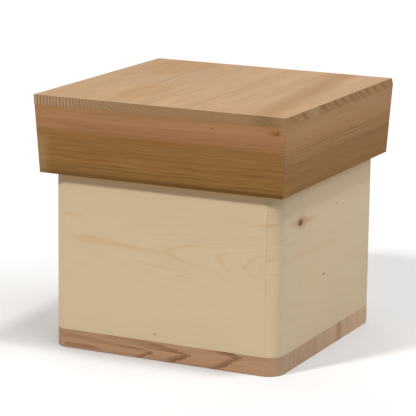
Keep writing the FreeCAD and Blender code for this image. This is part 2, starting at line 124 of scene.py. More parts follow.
class Graph:
    """One material, its nodes made by plain calls."""

    def __init__(self, name):
        self.material = bpy.data.materials.new(name)
        self.material.use_nodes = True
        self.tree = self.material.node_tree
        self.tree.nodes.clear()
        self.places = self.node("ShaderNodeTexCoord")

    def node(self, kind, **settings):
        made = self.tree.nodes.new(kind)
        for name, value in settings.items():
            setattr(made, name, value)
        return made

    def feed(self, socket, value):
        """Links a signal or socket, or sets a plain value."""
        value = value.socket if isinstance(value, Signal) else value
        if isinstance(value, bpy.types.NodeSocket):
            self.tree.links.new(value, socket)
        else:
            socket.default_value = value

    def math(self, operation, *values):
        made = self.node("ShaderNodeMath", operation=operation)
        for socket, value in zip(made.inputs, values):
            self.feed(socket, value)
        return Signal(self, made.outputs[0])

    def split(self, socket):
        made = self.node("ShaderNodeSeparateXYZ")
        self.feed(made.inputs[0], socket)
        return [Signal(self, out) for out in made.outputs]

    def join(self, x, y, z):
        made = self.node("ShaderNodeCombineXYZ")
        for socket, value in zip(made.inputs, (x, y, z)):
            self.feed(socket, value)
        return made.outputs[0]

    def position(self):
        """The place on the object at rest, in millimetres of the row frame."""
        return [place * (1 / MM) for place in self.split(self.places.outputs["Object"])]

    def facing(self):
        """The surface's outward direction at rest."""
        return self.split(self.places.outputs["Normal"])

    def noise(self, x, y, z=0.0, detail=2.0, roughness=0.5):
        """Noise from about -0.5 to 0.5, whose features are about one unit of its coordinates."""
        made = self.node("ShaderNodeTexNoise")
        made.inputs["Scale"].default_value = 1.0
        made.inputs["Detail"].default_value = detail
        made.inputs["Roughness"].default_value = roughness
        self.feed(made.inputs["Vector"], self.join(x, y, z))
        return Signal(self, made.outputs["Fac"]) - 0.5

    def streaks(self, along, across, length, width, seed=0.0, detail=2.0, roughness=0.5):
        """Noise whose features are about length by width millimetres."""
        return self.noise(along / length, across / width, seed, detail, roughness)

    def mix(self, factor, first, second):
        made = self.node("ShaderNodeMix", data_type="RGBA")
        sockets = {socket.identifier: socket for socket in made.inputs}
        self.feed(sockets["Factor_Float"], factor)
        self.feed(sockets["A_Color"], first)
        self.feed(sockets["B_Color"], second)
        return next(out for out in made.outputs if out.identifier == "Result_Color")

    def tint(self, colour, factors, amount):
        """The colour with its red, green and blue scaled apart, as far as amount says."""
        made = self.node("ShaderNodeVectorMath", operation="MULTIPLY")
        self.feed(made.inputs[0], colour)
        self.feed(made.inputs[1], factors)
        return self.mix(amount, colour, made.outputs[0])

    def shade(self, colour, factor):
        """The colour made lighter or darker by a factor."""
        made = self.node("ShaderNodeVectorMath", operation="SCALE")
        self.feed(made.inputs[0], colour[:3] if isinstance(colour, tuple) else colour)
        self.feed(made.inputs["Scale"], factor)
        return made.outputs[0]

    def ramp(self, signal, stops):
        """A colour for each stretch of the signal, from stops of a place and a screen colour."""
        made = self.node("ShaderNodeValToRGB")
        elements = made.color_ramp.elements
        elements.remove(elements[1])
        for number, (place, *screen) in enumerate(stops):
            stop = elements.new(place) if number else elements[0]
            stop.color = tone(*screen)
        self.feed(made.inputs["Fac"], signal)
        return made.outputs["Color"]

    def surface(self, colour, roughness, height=None, metallic=0.0, gloss=0.5):
        """Ends the material; height is in millimetres."""
        shader = self.node("ShaderNodeBsdfPrincipled")
        self.feed(shader.inputs["Base Color"], colour)
        self.feed(shader.inputs["Roughness"], roughness)
        shader.inputs["Metallic"].default_value = metallic
        shader.inputs["Specular IOR Level"].default_value = gloss
        if height is not None:
            bump = self.node("ShaderNodeBump")
            bump.inputs["Strength"].default_value = 1.0
            bump.inputs["Distance"].default_value = MM
            self.feed(bump.inputs["Height"], height)
            self.feed(shader.inputs["Normal"], bump.outputs[0])
        out = self.node("ShaderNodeOutputMaterial")
        self.feed(out.inputs["Surface"], shader.outputs[0])
        return self.material


class Coat:
    """The colour of one material as it is built up, a mark at a time."""

    def __init__(self, graph, colour):
        self.graph = graph
        self.colour = colour

    def cover(self, mask, colour):
        self.colour = self.graph.mix(mask, self.colour, colour)

    def lay(self, mark, mask, strength=None):
        """Covers where the mask says with a mark's colour, as strongly as the mark or strength says."""
        self.cover(mask * (mark.strength if strength is None else strength), mark.colour)

    def tint(self, factors, amount):
        self.colour = self.graph.tint(self.colour, factors, amount)

    def shade(self, factor):
        self.colour = self.graph.shade(self.colour, factor)


def strongest(signals):
    """The largest of several signals, place by place."""
    largest, *others = signals
    for signal in others:
        largest = largest.most(signal)
    return largest


# ---- timber
# Places and sizes are in millimetres. A pair given to rise or close is where a change starts and where it is
# complete, and a pair given to near is a middle and a reach. Rows of plain numbers are named by the loop that
# reads them. The factors left in formulas only set how much of one thing goes into another.

SWAY = Facts(length=170, width=55)
SWIRL = Facts(length=140, width=45)
END_GRAIN = (0.55, 0.9)
RELIEF = Facts(fibre=0.05, latewood=0.03, pores=0.06)
SHEEN = Facts(fibre=0.12, latewood=0.06)
PORE_SHADE = 0.25
SPOT_EDGE = (1.3, 0.6)
TINY = 0.001


class Board:
    """The grain of one piece of timber."""

    def __init__(self, graph, grain, seed, heart=None, ring=None, lean=(0, 0), wander=2.5, uneven=1.2,
                 count=None, quiet=None):
        self.graph = graph
        self.seed = seed
        self.xyz = dict(zip("xyz", graph.position()))
        faces = dict(zip("xyz", graph.facing()))
        first, second = (self.xyz[letter] for letter in "xyz" if letter != grain)
        self.along = self.xyz[grain]
        place = (self.along / SWAY.length + seed, first / SWAY.width, second / SWAY.width)
        sway = graph.noise(*place, detail=1)
        place = (self.along / SWIRL.length - seed, first / SWIRL.width + 7, second / SWIRL.width)
        swirl = graph.noise(*place, detail=1)
        self.u = first + sway * wander * 2
        self.v = second + swirl * wander * 2
        self.end = faces[grain].size().rise(*END_GRAIN)
        years = count(self) if count else self.trunk_years(heart, ring, lean)
        self.years = years + graph.noise(years / 3.1 + seed, seed, detail=1) * uneven
        self.strength = quiet(self) if quiet else 1

    def trunk_years(self, heart, ring, lean):
        """Rings of one width round a heart line, which leans and may lie outside the piece."""
        gap_u = self.u - heart[0] - self.along * lean[0]
        gap_v = self.v - heart[1] - self.along * lean[1]
        return (gap_u * gap_u + gap_v * gap_v) ** 0.5 / ring

    def latewood(self, start=0.35, full=0.9):
        """1 on the dark edge of each ring: a slow rise and a quick fall."""
        share = self.years.part()
        return share.rise(start, full) * share.rise(1, 0.96) * self.strength

    def fibre(self, length=42, width=0.75):
        """Fine streaks along the grain."""
        return self.graph.noise(
            self.along / length, self.u / width, self.v / width + self.seed, detail=3, roughness=0.6
        )

    def patch(self, length=190, width=26):
        """Broad changes of colour along the grain."""
        return self.graph.noise(self.along / length + 3, self.u / width, self.v / width + self.seed)

    def pores(self, length=8, width=0.55):
        """Small dots, seen on end grain."""
        return self.graph.noise(self.u / width, self.v / width, self.along / length + self.seed, detail=1)


def spindle(along, across, place, length, width):
    """A long spot that runs out to points along the grain."""
    taper = along.near(place[0], length)
    return taper * ((across - place[1]).size() / (taper * width + TINY)).rise(1, 0)


def spot(along, across, place, length, width):
    """An oval spot with a soft edge."""
    gap_a = (along - place[0]) / length
    gap_b = (across - place[1]) / width
    return (gap_a * gap_a + gap_b * gap_b).rise(*SPOT_EDGE)


def timber(name, board_facts, light, dark, ring_depth, roughness, fibre_depth, patch_depth, end_shade,
           end_contrast=1, paint=None, gloss=0.12):
    """A planed timber: rings, fibres and broad colour changes, then whatever paint adds to this one piece."""
    graph = Graph(name)
    board = Board(graph, **board_facts)
    late = board.latewood()
    fibre = board.fibre()
    pores = board.pores()
    depth = ring_depth * (1 + board.end * end_contrast)
    coat = Coat(graph, graph.mix((late * depth).least(1), light, dark))
    lightness = 1 + fibre * fibre_depth * 2 + board.patch() * patch_depth
    lightness = lightness * (1 - board.end * (1 - end_shade + pores * PORE_SHADE))
    coat.shade(lightness)
    if paint:
        paint(graph, board, coat)
    height = fibre * RELIEF.fibre + late * RELIEF.latewood + board.end * pores * RELIEF.pores
    rough = roughness + fibre * SHEEN.fibre - late * SHEEN.latewood
    return graph.surface(coat.colour, rough, height, gloss=gloss)


def tint_stretches(board, coat, tints, mask):
    """Lays each tint on the coat, where all of the tint's stretches are complete; the walls lay painted shade
    with it.
    """
    for factors, stretches in tints:
        amount = mask
        for letter, stretch in stretches.items():
            amount = amount * board.xyz[letter].rise(*stretch)
        coat.tint(factors, amount)


# ---- the pine walls in view

PINE_LIGHT = tone(180, 160, 128)
PINE_DARK = tone(168, 137, 97)

ARCHES = Facts(
    colour=tone(174, 138, 86), strength=0.34, tip=117, level=121, spacing=3, left_fade=(-60, 10),
    upper=(126, 131), upper_bend=(64, 34), lower=(119, 113), lower_start=50, level_fade=(36, 5),
)
ARCH_HAIR = Facts(colour=tone(176, 138, 90), strength=0.16, foot=(118, 132), head=(184, 170))
STREAKS = Facts(
    colour=tone(172, 136, 80),
    marks=(
        (126, 163.2, 0.11, 34, 2.6, 0.38),
        (126, 126, 0.25, 12, 2.2, 0.42),
        (126, 110.2, 0, 12, 1.8, 0.3),
    ),
)


def pine_sway(graph, x, z):
    """The slow and the quick wander of the marks on the walls' back faces."""
    return graph.streaks(x, z, length=30, width=9), graph.streaks(x, z, length=9, width=2.2, seed=3)


def paint_arches(graph, coat, x, z, sway, mask):
    """Nested arches that point left along the wall, and short streaks where they meet the corner."""
    wobble, ripple = sway
    lift = z.rise(*ARCHES.upper) * x.near(*ARCHES.upper_bend) * 4
    spread = z.rise(*ARCHES.lower) * ((x - ARCHES.lower_start) * 0.16).most(0)
    arm = (z + lift + spread - ARCHES.level) / 2
    arch = x + wobble * 15 + ripple * 8 - arm ** 2
    count = ((ARCHES.tip - arch) / ARCHES.spacing).most(0) ** (1 / 2.6)
    line = (count.part() - 0.5).size().rise(0.36, 0.49)
    line = line * count.rise(0.3, 0.8) * x.rise(*ARCHES.left_fade)
    level = (z - ARCHES.level).close(*ARCHES.level_fade) * 0.75 + 0.25
    patch = graph.streaks(x, z, length=16, width=6, seed=8) * 1.6 + 0.85
    coat.lay(ARCHES, line * level * mask * patch.least(1.15).most(0.3))
    hair = graph.streaks(x, z, length=50, width=1.1, seed=5, roughness=0.6).rise(0.1, 0.3)
    coat.lay(ARCH_HAIR, hair * z.rise(*ARCH_HAIR.foot) * z.rise(*ARCH_HAIR.head) * mask)
    sloped = z + wobble * 3 + ripple * 1.5
    for place, level, lean, length, width, strength in STREAKS.marks:
        line = (sloped - level - (x - place) * lean).close(width, 0.2) * x.near(place, length)
        coat.lay(STREAKS, line * mask, strength)


BACK_WALL_FACE = (-129, -132)
ORANGE = Facts(
    colour=tone(176, 138, 84), crown=(-110, 125), least_width=2.4, more_width=3.2, widening=(-20, -95),
    right_fade=(6, -30), left_fade=(-126, -96), strength=0.42,
)
SMEARS = Facts(
    colour=tone(176, 136, 86), left=Facts(oval=((-116, 149.8), 34, 3.8), strength=0.34),
    right=Facts(x=(83, 22), z=(164, 8), strength=0.2),
)
HAIRS = Facts(
    colour=tone(157, 123, 84), strength=0.4,
    lines=(
        (98.2, -0.093, (0.7, 0.1), (21, 18), 1),
        (104, -0.085, (0.6, 0.1), (-8, 26), 0.6),
        (112, -0.1, (0.6, 0.1), (-50, 36), 0.4),
    ),
)
# Painted shade: the wall's top under the lid is warmed and darkened in two steps towards the lid, as the lid's
# shadow and its warm bounce light.
BACK_PAINTED_SHADE = (
    ((1.02, 0.95, 0.83), {"z": (182, 187)}),
    ((0.97, 0.82, 0.52), {"z": (189.5, 193)}),
)
# Painted light: the wall below the lid's shadow is painted a little lighter, more so to the right.
PAINTED_LIGHT_BELOW_LID = Facts(z=(152, 178), x=(-90, 80))
SPECK = Facts(colour=tone(119, 101, 86), oval=((-9.5, 29), 2.1, 1.6), strength=0.45)


def paint_back_wall(graph, board, coat):
    """Cream pine with nested arches that point left, an orange streak, smears, fine lines, a speck, painted
    shade under the lid and painted light below it.
    """
    x, z = board.xyz["x"], board.xyz["z"]
    face = board.xyz["y"].rise(*BACK_WALL_FACE)
    wobble, ripple = pine_sway(graph, x, z)
    paint_arches(graph, coat, x, z, (wobble, ripple), face)
    crown_x, crown_z = ORANGE.crown
    centre = ((x - crown_x) ** 2) * -0.0006 + crown_z
    width = x.rise(*ORANGE.widening) * ORANGE.more_width + ORANGE.least_width
    gap = (z - centre + wobble * 3.5 + ripple * 2).size()
    streak = (gap / width).rise(1.2, 0) * x.rise(*ORANGE.right_fade) * x.rise(*ORANGE.left_fade)
    depth = ORANGE.strength + board.fibre(length=60, width=1.2) * 1.1
    coat.cover(streak * face * depth, ORANGE.colour)
    ragged = z + wobble * 5 + ripple * 4
    left, right = SMEARS.left, SMEARS.right
    smear = spindle(x, ragged, *left.oval) * left.strength
    smear = smear + x.near(*right.x) * ragged.near(*right.z) * right.strength
    coat.cover(smear * face, SMEARS.colour)
    hairs = strongest([
        (z - (x * slope + level) + ripple).close(*edge) * x.near(*stretch) * strength
        for level, slope, edge, stretch, strength in HAIRS.lines
    ])
    coat.lay(HAIRS, hairs * face)
    # Painted shade under the lid.
    tint_stretches(board, coat, BACK_PAINTED_SHADE, face)
    # Painted light below the lid's shadow.
    lighter = x.rise(*PAINTED_LIGHT_BELOW_LID.x) * 0.03 + 0.02
    coat.shade(1 + z.rise(*PAINTED_LIGHT_BELOW_LID.z) * lighter * face)
    coat.lay(SPECK, spot(x, z, *SPECK.oval) * face)


SIDE_FACE = (0.5, 0.95)
LAPPED_FACE = (-0.35, -0.9)
LAP = Facts(strength=0.85, depth=0.07)
STITCH = Facts(
    colour=tone(140, 112, 70), strength=0.35, pitch=5.5, x=(120.6, 0.9), foot=(122, 128), head=(177, 172),
)
RIGHT_SLOPE = 0.078
RIGHT_WOBBLE = 2.2
KNOT_RINGS = (
    Facts(colour=tone(151, 113, 56), oval=((-74, 151.2), 62, 8.5), strength=0.45),
    Facts(colour=tone(123, 84, 41), oval=((-77, 151), 25, 12.5), strength=0.42),
)
CORE = Facts(colour=tone(59, 36, 18), place=(-79, 157), edge=(6.4, 3.4), ring=0.9)
PALE_STREAK = Facts(
    colour=tone(178, 138, 89), slope=-0.028, level=118.6, edge=(4.6, 0.4), strength=0.4,
    back_end=(-135, -110), front_end=(20, -20), blotch=(13, 26),
)
# Tints on the right wall's side: painted shade near the corner with the back wall, a lighter, bluer plain tint
# towards the far end and foot, painted shade over the top band under the lid, and warmer painted shade just
# under the lid.
RIGHT_TINTS_AND_PAINTED_SHADE = (
    ((0.95, 0.975, 1), {"y": (-40, -110)}),
    ((1.01, 1.03, 1.07), {"y": (-30, 90), "z": (160, 145)}),
    ((0.95, 0.93, 0.92), {"z": (162, 172)}),
    ((1.02, 0.96, 0.82), {"z": (186, 191)}),
)
PIN_TAILS = Facts(colour=tone(161, 130, 84), strength=0.5, length=5)
PINS = Facts(
    colour=tone(92, 71, 45), flatness=0.62,
    spots=(
        ((20, 159), 1.5, 0.5),
        ((-13, 86.5), 2.1, 0.6),
        ((-122, 146), 1, 0.22),
    ),
)


def paint_right_wall(graph, board, coat):
    """Pine with one dark knot whose halo runs out both ways, pin knots, a pale orange streak, and painted
    shade near the corner with the back wall and under the lid.
    """
    x, y, z = board.xyz.values()
    facing_x, facing_y, _ = graph.facing()
    side = facing_x.rise(*SIDE_FACE)
    back = facing_y.rise(*LAPPED_FACE)
    lap_streaks = graph.streaks(x, z, length=30, width=1.6, seed=6)
    coat.cover(back * LAP.strength, graph.shade(PINE_LIGHT, 1 + lap_streaks * LAP.depth))
    paint_arches(graph, coat, x, z, pine_sway(graph, x, z), back)
    stitch = (z / STITCH.pitch).part().near(0.5, 0.22) * x.near(*STITCH.x)
    coat.lay(STITCH, stitch * z.rise(*STITCH.foot) * z.rise(*STITCH.head) * back)
    wobble = graph.streaks(y, z, length=26, width=8, seed=4)
    sloped = z + y * RIGHT_SLOPE + wobble * RIGHT_WOBBLE
    for part in KNOT_RINGS:
        coat.lay(part, spindle(y, sloped, *part.oval))
    gap_y = y - CORE.place[0]
    gap_z = (z - CORE.place[1]) * 1.35
    reach = (gap_y * gap_y + gap_z * gap_z) ** 0.5 + wobble * 2
    rings = (reach / CORE.ring).part().rise(0.3, 0.8) * 0.4
    coat.cover(reach.rise(*CORE.edge) * (rings + 0.6), CORE.colour)
    level = y * PALE_STREAK.slope + PALE_STREAK.level
    streak = (z - level + wobble * 3).close(*PALE_STREAK.edge)
    ends = y.rise(*PALE_STREAK.back_end) * y.rise(*PALE_STREAK.front_end) * 0.4
    coat.lay(PALE_STREAK, streak * (ends + y.near(*PALE_STREAK.blotch) * 0.45))
    # Painted shade near the corner and under the lid, and one plain tint.
    tint_stretches(board, coat, RIGHT_TINTS_AND_PAINTED_SHADE, side)
    for place, size, strength in PINS.spots:
        tail_place = (place[0], place[1] + place[0] * RIGHT_SLOPE)
        coat.lay(PIN_TAILS, spindle(y, sloped, tail_place, size * PIN_TAILS.length, size))
        coat.lay(PINS, spot(y, z + wobble, place, size, size * PINS.flatness), strength)


WALL_FADE = (60, 115)


def wall_quiet(board):
    """The back wall's rings fade out towards its foot."""
    return board.v.rise(*WALL_FADE) * 0.8 + 0.2


# ---- the cedar lid

LID_FOOT = 196
LID_SPAN = 80
LID_ZONE_STRENGTH = 0.8
LID_LOWER = (250, 216)
LID_DASHES = tone(92, 58, 22)
LID_LINES = Facts(
    colour=tone(79, 48, 17), strength=0.75,
    lines=(
        (230, 0.6, 0.4),
        (223.5, 0.5, 0.25),
        (216.2, 0.7, 0.5),
        (210, 0.8, 0.55),
        (206.6, 0.7, 0.5),
        (202.6, 0.8, 0.5),
    ),
)

# Colours up a lid board: 0 is its foot, and 1 is LID_SPAN above that, a little over its top.
LID_BACK_ZONES = (
    (0, 93, 63, 27), (0.09, 111, 79, 36), (0.26, 121, 84, 43), (0.35, 116, 80, 41),
    (0.45, 124, 88, 47), (0.545, 118, 83, 43), (0.6, 128, 90, 54), (0.65, 133, 93, 60),
    (0.8, 146, 106, 72), (1, 137, 100, 64),
)
LID_RIGHT_ZONES = (
    (0, 112, 76, 24), (0.12, 122, 87, 36), (0.3, 121, 86, 40), (0.385, 120, 87, 43),
    (0.45, 131, 96, 54), (0.54, 138, 102, 58), (0.62, 141, 104, 63), (0.8, 149, 114, 75),
    (1, 143, 110, 70),
)
LID_FAR_ZONES = (
    (0, 94, 60, 25), (0.3, 116, 77, 38), (0.55, 126, 84, 45), (1, 140, 98, 60),
)


def paint_lid_side(graph, board, coat, across, zones, line_strength):
    """Cedar whose colour changes in bands down the board, with long fine streaks, darker low down."""
    z, along, seed = board.xyz["z"], board.xyz[across], board.seed
    slow = graph.streaks(along, z, length=110, width=30, seed=seed)
    quick = graph.streaks(along, z, length=24, width=8, seed=seed)
    shift = z + slow * 3.5 + quick * 1.6
    coat.cover(LID_ZONE_STRENGTH, graph.ramp((shift - LID_FOOT) / LID_SPAN, zones))
    broad = graph.streaks(along, z, length=170, width=4.2, seed=seed + 5, roughness=0.6)
    thin = graph.streaks(along, shift, length=60, width=1.7, seed=seed + 9, roughness=0.6)
    hair = graph.streaks(along, shift, length=26, width=0.7, seed=seed + 2, roughness=0.6)
    low = shift.rise(*LID_LOWER)
    bands = broad * (0.22 + low * 0.3) * line_strength
    coat.shade(1 + bands + thin * (0.3 + low * 0.3) + hair * 0.42)
    dashes = graph.streaks(along, shift, length=28, width=1.1, seed=seed + 13, roughness=0.6)
    coat.cover(dashes.rise(0.1, 0.24) * (low * 0.36 + 0.06), LID_DASHES)
    for height, width, strength in LID_LINES.lines:
        gap = shift - height + broad * 3
        line = gap.close(width * 1.7, width * 0.3)
        broken = graph.noise(along / 50, height, seed, detail=3).rise(-0.15, 0.2)
        coat.lay(LID_LINES, line * broken * (strength * line_strength))


PALE_CORNER = Facts(colour=tone(146, 104, 70), strength=0.7, x=(-70, -130), z=(249, 6))
EMBER = Facts(colour=tone(120, 74, 24), strength=0.5, z=241.3, edge=(3.4, 0.4), middle=(4, 50))
HAZE = Facts(colour=tone(151, 126, 90), strength=0.38, x=(-126, -143), z=(250, 222))
SKIRT = Facts(colour=tone(84, 54, 12), z=197, edge=(3, 1.4), x=(-140, 60))
LID_HALO = Facts(colour=tone(118, 76, 30), strength=0.7, x=(134.5, 12), z=(263.6, 6.5))
CRACK = Facts(colour=tone(70, 40, 14), strength=0.6, place=(137, 264), edge=(0.9, 0.1), reach=6.5)
LID_KNOT = Facts(colour=tone(82, 54, 14), strength=0.55, oval=((137.4, 263.2), 2.2, 2))
LID_PIN = Facts(colour=tone(94, 58, 18), strength=0.5, oval=((64, 262.5), 1.6, 0.8))


def paint_lid_back(graph, board, coat):
    """The lid's back board: an ember streak, a hazy left end, a dark foot and a cracked knot."""
    x, z = board.xyz["x"], board.xyz["z"]
    paint_lid_side(graph, board, coat, "x", LID_BACK_ZONES, line_strength=1)
    wobble = graph.streaks(x, z, length=40, width=6, seed=2)
    coat.lay(PALE_CORNER, x.rise(*PALE_CORNER.x) * z.near(*PALE_CORNER.z))
    ember = (z - EMBER.z + wobble * 2.5).close(*EMBER.edge)
    coat.lay(EMBER, ember * (x.near(*EMBER.middle) * 0.8 + 0.2))
    coat.lay(HAZE, (x + wobble * 6).rise(*HAZE.x) * z.rise(*HAZE.z))
    skirt = (z - SKIRT.z + wobble * 1.2).rise(*SKIRT.edge)
    coat.cover(skirt * (x.rise(*SKIRT.x) * 0.5 + 0.25), SKIRT.colour)
    jag = graph.streaks(x, z, length=4, width=3, seed=1)
    ragged = z + wobble * 4 + jag * 4
    coat.lay(LID_HALO, x.near(*LID_HALO.x) * ragged.near(*LID_HALO.z))
    crack_x, crack_z = CRACK.place
    gap = z - crack_z - (x - crack_x) * 0.42 + wobble * 2
    coat.lay(CRACK, gap.close(*CRACK.edge) * x.near(crack_x, CRACK.reach))
    for mark, height in ((LID_KNOT, ragged), (LID_PIN, z)):
        coat.lay(mark, spot(x, height, *mark.oval))


RIGHT_LINES = Facts(
    colour=tone(88, 54, 10),
    lines=(
        (227.6, 0.9, 0.24),
        (240.5, 0.9, 0.42),
        (237, 0.8, 0.34),
        (243, 0.7, 0.25),
    ),
    close_height=(240, 222), close_strength=0.34,
)


def paint_lid_right(graph, board, coat):
    """The lid's right board: four thin dark lines, and close lines near its foot."""
    y, z = board.xyz["y"], board.xyz["z"]
    paint_lid_side(graph, board, coat, "y", LID_RIGHT_ZONES, line_strength=0.45)
    wobble = graph.streaks(y, z, length=60, width=6, seed=6)
    for height, width, strength in RIGHT_LINES.lines:
        gap = z - height + wobble * 2.2
        coat.lay(RIGHT_LINES, gap.close(width, width * 0.2), strength)
    close = graph.streaks(y, z, length=120, width=0.9, seed=3, roughness=0.6).rise(0.03, 0.2)
    coat.lay(RIGHT_LINES, close * z.rise(*RIGHT_LINES.close_height), RIGHT_LINES.close_strength)


def paint_lid_far(across):
    """The paint of the lid boards that face +Y and -X, along the given direction."""

    def paint(graph, board, coat):
        paint_lid_side(graph, board, coat, across, LID_FAR_ZONES, line_strength=0.7)

    return paint


UPRIGHT_RINGS = Facts(width=3.95, narrowing=0.45, narrow=(-95, -30), level=275, lean=(-125, -8))
FLAT_RINGS = Facts(heart=(50, 372), width=3.4, start=(-14, 4))


def roof_years(board):
    """Growth rings of the roof: upright at the left, leaning in the middle, nearly flat at the right."""
    x, z = board.u, board.v
    lean = x.rise(*UPRIGHT_RINGS.lean) * 1.05 + 0.04
    width = UPRIGHT_RINGS.width - x.rise(*UPRIGHT_RINGS.narrow) * UPRIGHT_RINGS.narrowing
    upright = (x + lean * (z - UPRIGHT_RINGS.level)) / width
    gap_x = x - FLAT_RINGS.heart[0]
    gap_z = z - FLAT_RINGS.heart[1]
    flat = (gap_x * gap_x + gap_z * gap_z) ** 0.5 / FLAT_RINGS.width
    side = x.rise(*FLAT_RINGS.start)
    return upright * (1 - side) - flat * side


ROOF_RINGS = Facts(strong=(-42, 30), left_fade=(-105, -60), right_fade=(-20, 15))


def roof_quiet(board):
    """The roof's rings are strongest left of the middle, and fade out to the right of it."""
    stronger = board.u.near(*ROOF_RINGS.strong) * 0.5
    weaker = board.u.rise(*ROOF_RINGS.left_fade) * 0.2 + board.u.rise(*ROOF_RINGS.right_fade) * 0.65
    return 1 + stronger - weaker


TOP_FACE = (0.7, 0.95)
ROOF_FRONT = Facts(factors=(0.99, 1, 1.05), y=(-110, 10))
ROOF_LEFT = Facts(colour=tone(120, 88, 52), strength=0.3, x=(-80, -128))
BAND = Facts(colour=tone(124, 89, 50), strength=0.68, x=106, slope=0.1, left=(-25, -2), right=(24, 4))
ROOF_LINES = Facts(
    colour=tone(118, 77, 42),
    lines=(
        (29, -0.025, 1.3, 0.4),
        (33, 0.01, 1, 0.3),
        (78, -0.04, 1.2, 0.38),
        (74, 0, 0.9, 0.28),
        (-22, -0.03, 1.2, 0.2),
        (-64, -0.03, 2, 0.14),
    ),
)
EMBERS = Facts(
    colour=tone(142, 102, 58), strength=0.34,
    spots=(
        ((-96, 96), 34, 60, 30, 1),
        ((-52, -78), 22, 50, 20, 0.8),
    ),
)
ROOF_END = Facts(
    face=(-0.5, -0.8), factors=(0.88, 0.80, 0.69),
    pale=Facts(colour=tone(178, 156, 128), x=(-70, -130), strength=0.36, between=(0.3, 0.7)),
    plain=Facts(colour=tone(132, 101, 68), x=(-40, 10), strength=0.5),
    shade=Facts(colour=tone(100, 74, 40), x=(124, 26), strength=0.6, middle=0.75, jitter=0.8),
)
ROOF_EDGE = Facts(
    face=(0.7, 0.95), colour=tone(130, 96, 58), strength=0.7, factors=(0.91, 0.79, 0.42),
    pale=Facts(colour=tone(146, 118, 84), y=(-76, 20), strength=0.6),
)
STROKES = Facts(
    colour=tone(84, 50, 6), level=275, height=(270, 277),
    strokes=(
        (-130, 4), (-100, 7), (-49, 12), (-32, 5), (-15, 8), (6, 7),
        (28, 8), (41, 4), (55, 5.5), (72, 6), (95, 5.5), (120, 5),
    ),
)


def paint_roof_top(graph, coat, x, y, top):
    """The roof seen from above: fine streaks, a dark band on the right, thin dark lines, warm patches and
    painted shade over the whole top.
    """
    sway = graph.streaks(y, x, length=120, width=60, seed=2)
    fine = graph.streaks(y, x, length=80, width=2, seed=3, detail=3, roughness=0.65)
    broad = graph.streaks(y, x + y * 0.05, length=150, width=9, seed=8, detail=3, roughness=0.6)
    # The -0.075 paints the whole top face a little darker, as painted shade.
    coat.shade(1 + top * (fine * 0.5 + broad * 0.36 - 0.075))
    coat.tint(ROOF_FRONT.factors, top * y.rise(*ROOF_FRONT.y))
    left = graph.streaks(y, x, length=55, width=2.6, seed=12, roughness=0.6).rise(0.02, 0.22)
    coat.lay(ROOF_LEFT, left * x.rise(*ROOF_LEFT.x) * top)
    gap = x + y * BAND.slope + sway * 14 - BAND.x
    dark = gap.rise(*BAND.left) * gap.rise(*BAND.right)
    coat.lay(BAND, dark * (0.6 + fine * 2 + broad * 1.2) * top)
    for place, slope, width, strength in ROOF_LINES.lines:
        gap = x - (y * slope + place) + sway * 14 + fine * 2
        coat.lay(ROOF_LINES, gap.close(width, width * 0.15) * top, strength)
    embers = [
        spot(x + sway * wander, y, place, length, width) * strength
        for place, length, width, wander, strength in EMBERS.spots
    ]
    coat.lay(EMBERS, (embers[0] + embers[1]) * top)


def paint_roof_end(board, coat, x, end, jitter):
    """The roof's end grain, towards -Y: pale wood between the rings on the left, and a dark right corner."""
    pale, plain, shade = ROOF_END.pale, ROOF_END.plain, ROOF_END.shade
    between = 1 - board.latewood(*pale.between)
    coat.lay(pale, end * x.rise(*pale.x) * between)
    coat.lay(plain, end * x.rise(*plain.x))
    coat.lay(shade, x.near(*shade.x) * end * (shade.middle + jitter * shade.jitter))
    coat.tint(ROOF_END.factors, end)


def paint_roof_edge(coat, y, z, edge, jitter):
    """The roof's long right edge: browner than the top, with short dark slanting strokes."""
    slant = y + (z - STROKES.level) * 1.9 + jitter * 14
    strokes = strongest([
        slant.near(place, reach).rise(0.15, 0.8) for place, reach in STROKES.strokes
    ])
    coat.lay(ROOF_EDGE, edge)
    coat.tint(ROOF_EDGE.factors, edge)
    coat.lay(ROOF_EDGE.pale, y.near(*ROOF_EDGE.pale.y) * edge)
    coat.shade(1 + jitter * edge * 0.3)
    coat.cover(edge * strokes * (z.rise(*STROKES.height) * 0.2 + 0.3), STROKES.colour)


def paint_roof(graph, board, coat):
    """The lid's top board, each of its faces painted in turn."""
    x, y, z = board.xyz.values()
    facing_x, facing_y, facing_z = graph.facing()
    jitter = graph.streaks(x + y, z, length=5, width=3, seed=5, roughness=0.6)
    paint_roof_top(graph, coat, x, y, facing_z.rise(*TOP_FACE))
    paint_roof_end(board, coat, x, facing_y.rise(*ROOF_END.face), jitter)
    paint_roof_edge(coat, y, z, facing_x.rise(*ROOF_EDGE.face), jitter)


# ---- the cedar floor

FLOOR_FACE = (-0.3, -0.6)
ZIGZAGS = Facts(
    colour=tone(90, 54, 26), strength=0.62,
    arches=(
        (-9, 8.6, 12.4, 2.2, 6),
        (35, 11, 5.6, 2.2, 9.5),
        (94, 16, 2.2, 1.8, 7.5),
    ),
    tail=(-60, -14),
)
FLOOR_CORNER = Facts(colour=tone(92, 56, 26), strength=0.35, oval=((-98, 4), 24, 2.6))
FLOOR_SEAM = Facts(colour=tone(150, 92, 44), strength=0.4, z=(1.5, 0.4))
FLOOR_UPPER = (12, 18)
FLOOR_END = Facts(
    face=(0.35, 0.95), colour=tone(152, 129, 102), strength=0.8, y=(-110, 90), dark=tone(116, 76, 46),
    band=(35, 12),
)


